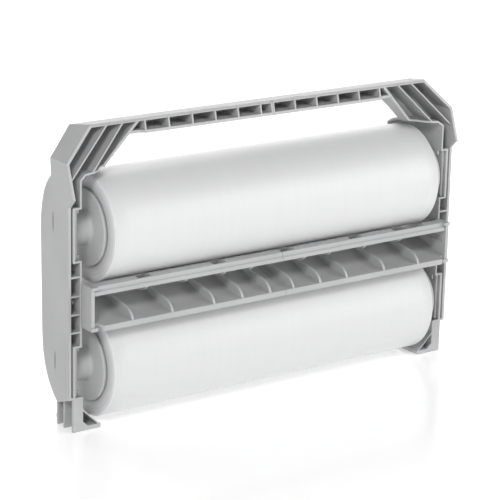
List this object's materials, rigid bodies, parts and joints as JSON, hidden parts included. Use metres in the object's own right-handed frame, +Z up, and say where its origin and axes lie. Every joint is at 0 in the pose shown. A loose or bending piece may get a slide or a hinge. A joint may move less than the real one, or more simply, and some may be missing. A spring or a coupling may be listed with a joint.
{
  "type": "twin-roll laminating film cartridge",
  "caption": "Lift-out cartridge with a carry handle that holds upper and lower rolls of clear laminating film and a ribbed document guide between them.",
  "frame": {"origin": "on the floor under the feet, midway along the rolls and directly below both roll axes", "axes": "+X along the rolls to the right seen from the feed side, +Y from the feed side to the back, +Z up to the handle"},
  "size_m": [0.363, 0.0838, 0.231],
  "materials": {
    "frame_grey": "satin moulded ABS",
    "hub_grey": "satin moulded plastic",
    "film": "tightly wound clear film, glossy, white from its depth",
    "core_plastic": "extruded tube",
    "felt": "pressed felt",
    "steel": "plated"
  },
  "bodies": {
    "cartridge_frame": {"left_side_frame": "frame_grey", "left_upper_guide": "frame_grey", "left_lower_guide": "frame_grey", "left_guide_bracket": "frame_grey", "left_bracket_screw_front": "steel", "left_bracket_screw_back": "steel", "upper_left_bearing_cup": "frame_grey", "lower_left_bearing_cup": "frame_grey", "right_side_frame": "frame_grey", "right_upper_guide": "frame_grey", "right_lower_guide": "frame_grey", "right_guide_bracket": "frame_grey", "right_bracket_screw_front": "steel", "right_bracket_screw_back": "steel", "upper_right_bearing_cup": "frame_grey", "lower_right_bearing_cup": "frame_grey", "upper_brake_washer": "felt", "upper_brake_spring": "steel", "lower_brake_washer": "felt", "lower_brake_spring": "steel"},
    "upper_roll": {"upper_film_roll": "film", "upper_core": "core_plastic", "upper_left_hub": "hub_grey", "upper_right_hub": "hub_grey", "upper_brake_drum": "hub_grey"},
    "lower_roll": {"lower_film_roll": "film", "lower_core": "core_plastic", "lower_left_hub": "hub_grey", "lower_right_hub": "hub_grey", "lower_brake_drum": "hub_grey"}
  },
  "joints": [
    {"name": "upper_roll_spin", "type": "hinge", "parent": "cartridge_frame", "child": "upper_roll", "pos_m": [0, 0, 0.1509], "axis": [1, 0, 0], "continuous": true},
    {"name": "lower_roll_spin", "type": "hinge", "parent": "cartridge_frame", "child": "lower_roll", "pos_m": [0, 0, 0.0451], "axis": [1, 0, 0], "continuous": true}
  ]
}
